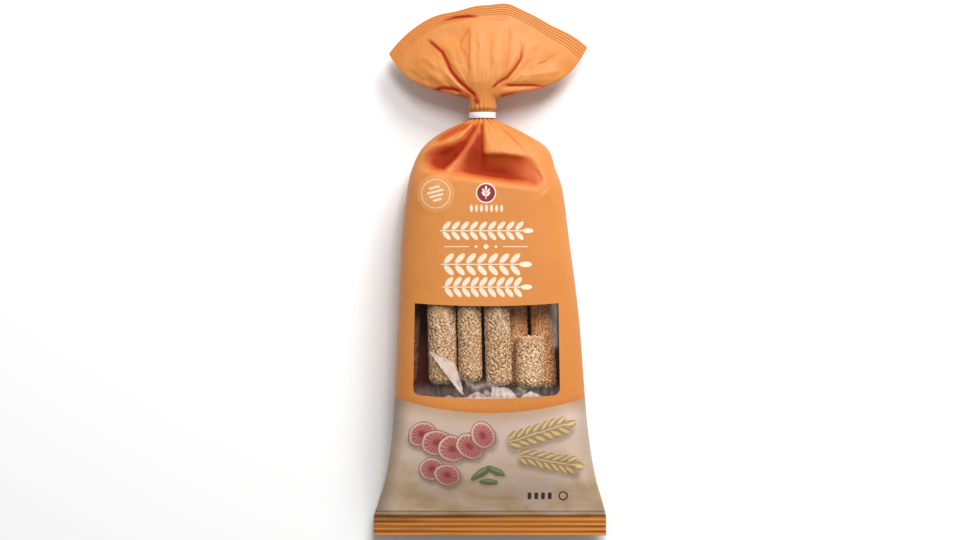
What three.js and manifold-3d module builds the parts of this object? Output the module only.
// A gathered film bag of sesame breadsticks, lying on its back with its window up.
// X runs across the bag, Y runs along it from the flat bottom seal to the flared top, and Z
// is up. The origin lies on the floor under the middle of the bag. Sizes are in millimetres.

import * as THREE from 'three';
import { mergeVertices } from 'three/addons/utils/BufferGeometryUtils.js';
import Module from 'manifold-3d';

const wasm = await Module();
wasm.setup();

// ---- The film tube -----------------------------------------------------------------

const BAG_LENGTH = 330.4;      // bottom seal to the top of the flare
const FILM_WIDTH = 144.5;      // the film tube laid flat, as the bottom seal shows it
const BOTTOM_SEAL = 12.4;      // height of the crimped band at the bottom
const SEAL_THICKNESS = 1.2;
const SEAL_LEVEL = 8;          // the bottom seal's middle above the floor
const BOTTOM = -BAG_LENGTH / 2;
const RIDGES = 4;              // crimp lines pressed into the bottom band
const RIDGE_DEPTH = 0.3;

const NECK_X = -4.7;           // the neck sits a little left of the middle
const NECK_LEVEL = 22;
const NECK_RADIUS = 7.3;
const NECK_FOOT = 93.5;        // the body ends here, and the neck starts
const NECK_MOUTH = 9;          // the neck's radius where it opens into the flare
const TIE_ALONG = 95.9;

// The filled body, by the few places where its run changes: how far along, where its middle
// lies across, its width, its lowest and highest points, and how square its section is.
const BODY = [
  { along: BOTTOM + BOTTOM_SEAL, middle: 0, width: 144.5, back: 7.4, front: 8.6, square: 5 },
  { along: -146, middle: 0.3, width: 140.5, back: 6, front: 13.5, square: 2.4 },
  { along: -130, middle: 0.4, width: 131, back: 2, front: 28, square: 2.3 },
  { along: -110, middle: 0.3, width: 123.8, back: -0.8, front: 39, square: 2.6 },
  { along: -88, middle: 0, width: 119.2, back: -1.2, front: 46.5, square: 3 },
  { along: -26, middle: -0.9, width: 111.3, back: -1.2, front: 47, square: 3 },
  { along: 19, middle: -2.8, width: 103.6, back: -1.2, front: 47.5, square: 3 },
  { along: 50, middle: -3.2, width: 96, back: -1.2, front: 48, square: 2.8 },
  { along: 63, middle: -3.9, width: 88.5, back: 1, front: 45.5, square: 2.5 },
  { along: 76, middle: -3.2, width: 76.5, back: 5, front: 41.5, square: 2.3 },
  { along: 85.6, middle: -4.9, width: 49, back: 10, front: 35.5, square: 2.1 },
  { along: NECK_FOOT, middle: NECK_X, width: 2 * NECK_RADIUS, back: 14.7, front: 29.3, square: 2 },
];

// Above the breadsticks the front of the film falls in behind the top of the front panel.
const HOLLOWS = [
  { x: 5, place: 61, deep: 14, halfWidth: 27, halfLength: 6.2, slant: -0.12 },
  { x: -33, place: 69, deep: 5, halfWidth: 9, halfLength: 5, slant: 0.2 },
];

// Pleats run out of the neck. Each is a valley or a ridge at its place across the film, from
// -1 at the left edge to 1 at the right one, with its height and its half width there.
const SHOULDER_START = 48;
const SHOULDER_PLEATS = [
  { across: -0.62, high: 1.6, half: 0.12 },
  { across: -0.38, high: -3.4, half: 0.1 },
  { across: -0.14, high: 1.8, half: 0.08 },
  { across: 0.06, high: -3.2, half: 0.08 },
  { across: 0.38, high: 2.4, half: 0.18 },
  { across: 0.78, high: -1.6, half: 0.08 },
];
const FLARE_PLEATS = [
  { across: -0.86, high: -2, half: 0.08 },
  { across: -0.55, high: -5, half: 0.09 },
  { across: -0.3, high: 2.6, half: 0.12 },
  { across: -0.12, high: 2.2, half: 0.06 },
  { across: 0.16, high: -2, half: 0.06 },
  { across: 0.3, high: 1.6, half: 0.06 },
  { across: 0.5, high: -4.4, half: 0.08 },
  { across: 0.78, high: 2.4, half: 0.12 },
];

// ---- The flare above the neck ------------------------------------------------------

const FLARE_ALONG = 100.7;     // the centre that the flare fans out from
const FLARE_START = 9.6;       // distance of the flare's first ring from that centre
const RIM_REACH = 63.5;        // distance of the rim from that centre, straight up
const RIM_MORE_LEFT = 3.5;     // what the rim gains towards its left tip
const RIM_MORE_RIGHT = 11.8;   // and towards its right tip
const RIM_WAVES = [
  { across: -0.25, high: -1.8, half: 0.15 },
  { across: 0.225, high: 2.2, half: 0.12 },
  { across: 0.66, high: -2, half: 0.18 },
];
const RIM_HALF_SPAN = THREE.MathUtils.degToRad(60);
const LEFT_BULGE = THREE.MathUtils.degToRad(10.5);   // how far each side edge swings out
const RIGHT_BULGE = THREE.MathUtils.degToRad(12);    // about half way from neck to rim
const RIM_BAND = 0.88;         // share of the reach where the top seal starts
const PUFF = 14;               // how far each wall stands out of the flare's mid plane
const PUFF_LEAD = 0.25;
const TIP_DROOP = 5;

// ---- The window ----------------------------------------------------------------------

const WINDOW_TOP = -20.5;
const WINDOW_BOTTOM = -77.4;
const WINDOW_SAG = 1.7;        // its top and bottom edges hang by this much in the middle
const WINDOW_LEFT = -46.4;
const WINDOW_RIGHT = 42.2;
const WINDOW_FLARE = 0.9;      // each side runs out by this much towards the bottom
const WINDOW_CORNER = 5;
const POCKET_FLOOR = 9;        // the space behind the window goes down to here
const PANE = 1;
const GAP = 0.3;

// ---- Breadsticks, tie and mesh fineness ----------------------------------------------

// x and level are the stick's middle at its top end, and lean is what x gains at its foot.
const BREADSTICKS = [
  { name: 'breadstick_1', x: -44.2, lean: -7, level: 18.4, radius: 6, head: 49, foot: -71, seeds: 6 },
  { name: 'breadstick_2', x: -31.4, lean: 2.4, level: 34.6, radius: 9, head: 50, foot: -70.5, seeds: 21 },
  { name: 'breadstick_3', x: -14.4, lean: 2.4, level: 37, radius: 7.5, head: 48, foot: -69, seeds: 17 },
  { name: 'breadstick_4', x: 2.3, lean: 3.3, level: 36, radius: 8.3, head: 46, foot: -71.5, seeds: 20 },
  { name: 'breadstick_5', x: 24.4, lean: 0.3, level: 35.6, radius: 9, head: -41, foot: -72.5, seeds: 16 },
  { name: 'breadstick_6', x: 13.9, lean: 3.6, level: 19.8, radius: 7.2, head: 48, foot: -72, seeds: 6 },
  { name: 'breadstick_7', x: 29, lean: 5.4, level: 19.8, radius: 7.4, head: 45, foot: -73, seeds: 6 },
];
const SEED_LENGTH = 3.1;
const SEED_WIDTH = 1.9;
const SEED_THICKNESS = 1.2;
const SEED_PROUD = 0.6;        // what a seed may stand out of the crust
const SEED_SUNK = 0.15;        // how far a seed's top stays under that
const SEED_SPREAD = THREE.MathUtils.degToRad(72);
const BREAD_SIDES = 14;
const BREAD_LENGTHS = 6;       // lengths between the two rounded ends
const END_ROUNDING = 5;        // length over which an end narrows
const END_FLAT = 0.62;         // the flat of an end, as a share of the stick's thickness
const UNEVEN = 0.25;
const SEED_STEP = [0.7549, 0.5698];   // steps along and round that spread the seeds evenly
const SEED_TURN = 2.4;

const TIE_WIDTH = 3.7;
const TIE_THICKNESS = 0.8;
const TIE_STEPS = 26;

const BAG_SIDES = 56;          // points round the film
const BODY_LENGTHS = 15;       // lengths from the bottom seal to the shoulder
const SHOULDER_LENGTHS = 11;
const FLARE_LENGTHS = 10;
const ABOVE = 80;              // a level clear of the whole bag

// ---- Small helpers -------------------------------------------------------------------

// The sum of a row of smooth rises and falls at one place across the film.
const bumps = (value, row) => row.reduce(
  (sum, { across, high, half }) => sum + high * Math.exp(-(((value - across) / half) ** 2)),
  0,
);

// A smooth run of one property through the body's places.
function along(property, place) {
  let i = BODY.findIndex((station) => station.along > place) - 1;
  if (i < 0) i = place <= BODY[0].along ? 0 : BODY.length - 2;
  const [a, b] = [BODY[i], BODY[i + 1]];
  const before = BODY[i - 1] ?? a;
  const after = BODY[i + 2] ?? b;
  const length = b.along - a.along;
  const slopeIn = (b[property] - before[property]) / (b.along - before.along);
  const slopeOut = (after[property] - a[property]) / (after.along - a.along);
  const t = (place - a.along) / length;
  const keep = 2 * t ** 3 - 3 * t ** 2 + 1;
  return keep * a[property] + (1 - keep) * b[property]
    + (t ** 3 - 2 * t ** 2 + t) * length * slopeIn
    + (t ** 3 - t ** 2) * length * slopeOut;
}

// Rings of equal length joined into one closed body, each end shut by strips that join the
// front of the end ring to its back.
function loft(rings) {
  const sides = rings[0].length;
  const positions = rings.flat().flatMap((point) => point.toArray());
  const faces = [];
  for (let i = 0; i + 1 < rings.length; i += 1) {
    for (let k = 0; k < sides; k += 1) {
      const next = (k + 1) % sides;
      const [a, b] = [i * sides + k, i * sides + next];
      faces.push(a, b + sides, b, a, a + sides, b + sides);
    }
  }
  for (let k = 0; k < sides / 2; k += 1) {
    const [front, frontNext] = [k, k + 1];
    const [back, backNext] = [(sides - k) % sides, sides - k - 1];
    const end = (rings.length - 1) * sides;
    if (k > 0) {
      faces.push(front, frontNext, back);
      faces.push(end + front, end + back, end + frontNext);
    }
    if (k + 1 < sides / 2) {
      faces.push(frontNext, backNext, back);
      faces.push(end + frontNext, end + back, end + backNext);
    }
  }
  const geometry = new THREE.BufferGeometry();
  geometry.setAttribute('position', new THREE.Float32BufferAttribute(positions, 3));
  geometry.setIndex(faces);
  return geometry;
}

function solid(geometry) {
  const bare = geometry.clone();
  bare.deleteAttribute('normal');
  bare.deleteAttribute('uv');
  const merged = mergeVertices(bare);
  const vertProperties = merged.attributes.position.array;
  const triVerts = Uint32Array.from(merged.index.array);
  return new wasm.Manifold(new wasm.Mesh({ numProp: 3, vertProperties, triVerts }));
}

function geometryOf(body) {
  const { vertProperties, triVerts } = body.getMesh();
  const geometry = new THREE.BufferGeometry();
  geometry.setAttribute('position', new THREE.BufferAttribute(vertProperties, 3));
  geometry.setIndex(new THREE.BufferAttribute(triVerts, 1));
  geometry.computeVertexNormals();
  return geometry;
}

function piece(name, geometry, finish) {
  const mesh = new THREE.Mesh(geometry, new THREE.MeshStandardMaterial(finish));
  mesh.name = name;
  return mesh;
}

// ---- The bag -------------------------------------------------------------------------

// A ring's points go round from the right edge over the front to the left edge and back.
// across runs from 1 at the right edge to -1 at the left one, and side is 1 on the front.
function ring(pointAt) {
  const points = [];
  for (let k = 0; k < BAG_SIDES; k += 1) {
    const turn = (2 * Math.PI * k) / BAG_SIDES;
    const side = k === 0 || 2 * k === BAG_SIDES ? 0 : Math.sign(Math.sin(turn));
    points.push(pointAt(Math.cos(turn), side));
  }
  return points;
}

const lens = (across, square) => (1 - Math.min(1, Math.abs(across)) ** square) ** (1 / square);

// Shallow crimp lines pressed across the bottom band.
const crimp = (place) => RIDGE_DEPTH * Math.cos((2 * Math.PI * RIDGES * (place - BOTTOM)) / BOTTOM_SEAL);

function sealRing(place) {
  const foot = BODY[0];
  const half = SEAL_THICKNESS / 2;
  return ring((across, side) => new THREE.Vector3(
    foot.middle + (across * FILM_WIDTH) / 2,
    place,
    SEAL_LEVEL + side * half * lens(across, foot.square) + crimp(place) * Math.abs(side),
  ));
}

function hollowDepth(hollow, x, place) {
  const over = (x - hollow.x) / hollow.halfWidth;
  const down = (place - hollow.place - hollow.slant * (x - hollow.x)) / hollow.halfLength;
  return hollow.deep * Math.exp(-(over ** 2) - down ** 2);
}

function bodyRing(place) {
  const middle = along('middle', place);
  const width = along('width', place);
  const back = along('back', place);
  const front = along('front', place);
  const square = along('square', place);
  const pleating = Math.sin(Math.PI * THREE.MathUtils.smoothstep(place, SHOULDER_START, NECK_FOOT)) ** 0.7;
  return ring((across, side) => {
    const x = middle + (across * width) / 2;
    let z = (front + back) / 2 + (side * lens(across, square) * (front - back)) / 2;
    const relief = bumps(across, SHOULDER_PLEATS);
    z += side * relief * pleating * lens(across, 2);
    if (side > 0) {
      for (const hollow of HOLLOWS) z -= hollowDepth(hollow, x, place) * lens(across, 2);
    }
    return new THREE.Vector3(x, place, Math.max(z, 0));
  });
}

function neckRing(place, radius) {
  return ring((across, side) => new THREE.Vector3(
    NECK_X + across * radius,
    place,
    NECK_LEVEL + side * radius * lens(across, 2),
  ));
}

// reach runs from 0 at the neck to 1 at the rim, and the film fans out from the neck.
function flareRing(reach) {
  const closing = Math.min(1, (reach + PUFF_LEAD) / (RIM_BAND + PUFF_LEAD));
  const puff = SEAL_THICKNESS / 2 + PUFF * Math.sin(Math.PI * closing);
  const pleating = Math.sqrt(Math.max(0, 1 - reach / RIM_BAND)) * Math.min(1, 0.3 + 4 * reach);
  return ring((across, side) => {
    const more = across < 0 ? RIM_MORE_LEFT : RIM_MORE_RIGHT;
    const bulge = across < 0 ? LEFT_BULGE : RIGHT_BULGE;
    const rim = RIM_REACH + more * across ** 2 + bumps(across, RIM_WAVES);
    const out = FLARE_START + (rim - FLARE_START) * reach;
    const turn = Math.PI / 2 - across * (RIM_HALF_SPAN + bulge * Math.sin(Math.PI * reach ** 0.9));
    const relief = bumps(across, FLARE_PLEATS);
    const droop = TIP_DROOP * (reach * across) ** 2;
    return new THREE.Vector3(
      NECK_X + out * Math.cos(turn),
      FLARE_ALONG + out * Math.sin(turn),
      NECK_LEVEL - droop + side * (puff * lens(across, 2.2) + relief * pleating * lens(across, 2)),
    );
  });
}

// Numbers from first to last in equal steps, both ends included.
function steps(first, last, count) {
  return Array.from({ length: count + 1 }, (_, i) => first + ((last - first) * i) / count);
}

function bagForm() {
  const sealTop = BOTTOM + BOTTOM_SEAL;
  return solid(loft([
    ...steps(BOTTOM, sealTop, 2 * RIDGES).slice(0, -1).map(sealRing),
    ...steps(sealTop, SHOULDER_START, BODY_LENGTHS).slice(0, -1).map(bodyRing),
    ...steps(SHOULDER_START, NECK_FOOT, SHOULDER_LENGTHS).map(bodyRing),
    neckRing(TIE_ALONG + TIE_WIDTH / 2 + GAP, NECK_RADIUS),
    neckRing(FLARE_ALONG, NECK_MOUTH),
    ...steps(0, RIM_BAND, FLARE_LENGTHS).map(flareRing),
    flareRing(1),
  ]));
}

// ---- The window ----------------------------------------------------------------------

// The window's outline drawn in by a margin, as a block from one level to another.
function windowBlock(margin, low, high) {
  const top = WINDOW_TOP - margin;
  const bottom = WINDOW_BOTTOM + margin;
  const left = WINDOW_LEFT + margin;
  const right = WINDOW_RIGHT - margin;
  const middle = (left + right) / 2;
  const outline = new THREE.Shape();
  outline.moveTo(left, top);
  outline.lineTo(left - WINDOW_FLARE, bottom + WINDOW_CORNER);
  outline.quadraticCurveTo(left - WINDOW_FLARE, bottom, left + WINDOW_CORNER, bottom);
  outline.quadraticCurveTo(middle, bottom - 2 * WINDOW_SAG, right - WINDOW_CORNER, bottom);
  outline.quadraticCurveTo(right + WINDOW_FLARE, bottom, right + WINDOW_FLARE, bottom + WINDOW_CORNER);
  outline.lineTo(right, top);
  outline.quadraticCurveTo(middle, top - 2 * WINDOW_SAG, left, top);
  const block = new THREE.ExtrudeGeometry(outline, {
    depth: high - low,
    bevelEnabled: false,
    curveSegments: 4,
  });
  return solid(block.translate(0, 0, low));
}

// ---- Breadsticks ---------------------------------------------------------------------

function axisX({ x, lean, head, foot }, place) {
  return x + (lean * (head - place)) / (head - foot);
}

// A breadstick's core: round, a little uneven, and rounded at its ends. more widens it.
function breadForm(stick, more, uneven, lengths) {
  const radius = stick.radius - SEED_PROUD + more;
  const [foot, head] = [stick.foot - more, stick.head + more];
  const places = [
    foot,
    foot + END_ROUNDING / 3,
    ...steps(foot + END_ROUNDING, head - END_ROUNDING, lengths),
    head - END_ROUNDING / 3,
    head,
  ];
  const rings = places.map((place) => {
    const toEnd = Math.min(place - stick.foot, stick.head - place) + more;
    const rounding = THREE.MathUtils.clamp(toEnd / (END_ROUNDING + more), 0, 1);
    const taper = END_FLAT + (1 - END_FLAT) * Math.sqrt(1 - (1 - rounding) ** 2);
    return Array.from({ length: BREAD_SIDES }, (_, k) => {
      const turn = (2 * Math.PI * k) / BREAD_SIDES;
      const wave = uneven * Math.sin(place * 0.13 + stick.x + 2 * turn);
      const out = (radius - uneven + wave) * taper;
      return new THREE.Vector3(
        axisX(stick, place) + out * Math.cos(turn),
        place,
        stick.level + out * Math.sin(turn),
      );
    });
  });
  return solid(loft(rings));
}

// One seed lies flat on the crust at its place along the stick and its turn from the top.
function seedOn(stick, place, turn, heading) {
  const seed = new THREE.IcosahedronGeometry(1, 0);
  seed.scale(SEED_WIDTH / 2, SEED_LENGTH / 2, SEED_THICKNESS / 2);
  seed.rotateZ(heading);
  seed.translate(0, 0, stick.radius - SEED_THICKNESS / 2 - SEED_SUNK);
  seed.rotateY(turn);
  seed.translate(axisX(stick, place), place, stick.level);
  return solid(seed);
}

// Seeds are spread evenly over the side that shows, by steps that never line up.
function breadstick(stick) {
  const first = Math.min(WINDOW_TOP, stick.head - END_ROUNDING);
  const last = Math.max(WINDOW_BOTTOM, stick.foot + END_ROUNDING);
  let bread = breadForm(stick, 0, UNEVEN, BREAD_LENGTHS);
  for (let i = 0; i < stick.seeds; i += 1) {
    const [down, round] = SEED_STEP.map((step) => (0.5 + i * step) % 1);
    const place = first + (last - first) * down;
    const turn = SEED_SPREAD * (2 * round - 1);
    bread = bread.add(seedOn(stick, place, turn, i * SEED_TURN));
  }
  return bread;
}

// ---- Tie -----------------------------------------------------------------------------

function tieRing() {
  const inner = NECK_RADIUS + GAP;
  const outer = inner + TIE_THICKNESS;
  const half = TIE_WIDTH / 2;
  const profile = [
    [inner, -half],
    [outer, -half],
    [outer, half],
    [inner, half],
    [inner, -half],
  ].map(([x, y]) => new THREE.Vector2(x, y));
  const band = mergeVertices(new THREE.LatheGeometry(profile, TIE_STEPS));
  return solid(band.translate(NECK_X, TIE_ALONG, NECK_LEVEL));
}

// ---- The whole pack ------------------------------------------------------------------

const form = bagForm();
let bag = form.subtract(windowBlock(0, POCKET_FLOOR, ABOVE));
for (const stick of BREADSTICKS) bag = bag.subtract(breadForm(stick, GAP + SEED_PROUD, 0, 1));

const underPane = solid(geometryOf(form).translate(0, 0, -PANE));
const pane = form.intersect(windowBlock(GAP, POCKET_FLOOR, ABOVE)).subtract(underPane);

const pack = new THREE.Group();
pack.add(piece('bag', geometryOf(bag), { color: 0xe08a3c, roughness: 0.45, metalness: 0 }));
pack.add(piece('window_film', geometryOf(pane), { color: 0xf2f2ee, roughness: 0.12, metalness: 0 }));
for (const stick of BREADSTICKS) {
  const finish = { color: 0xc89a66, roughness: 0.85, metalness: 0 };
  pack.add(piece(stick.name, geometryOf(breadstick(stick)), finish));
}
pack.add(piece('tie', geometryOf(tieRing()), { color: 0xece4ea, roughness: 0.5, metalness: 0 }));

export default pack;
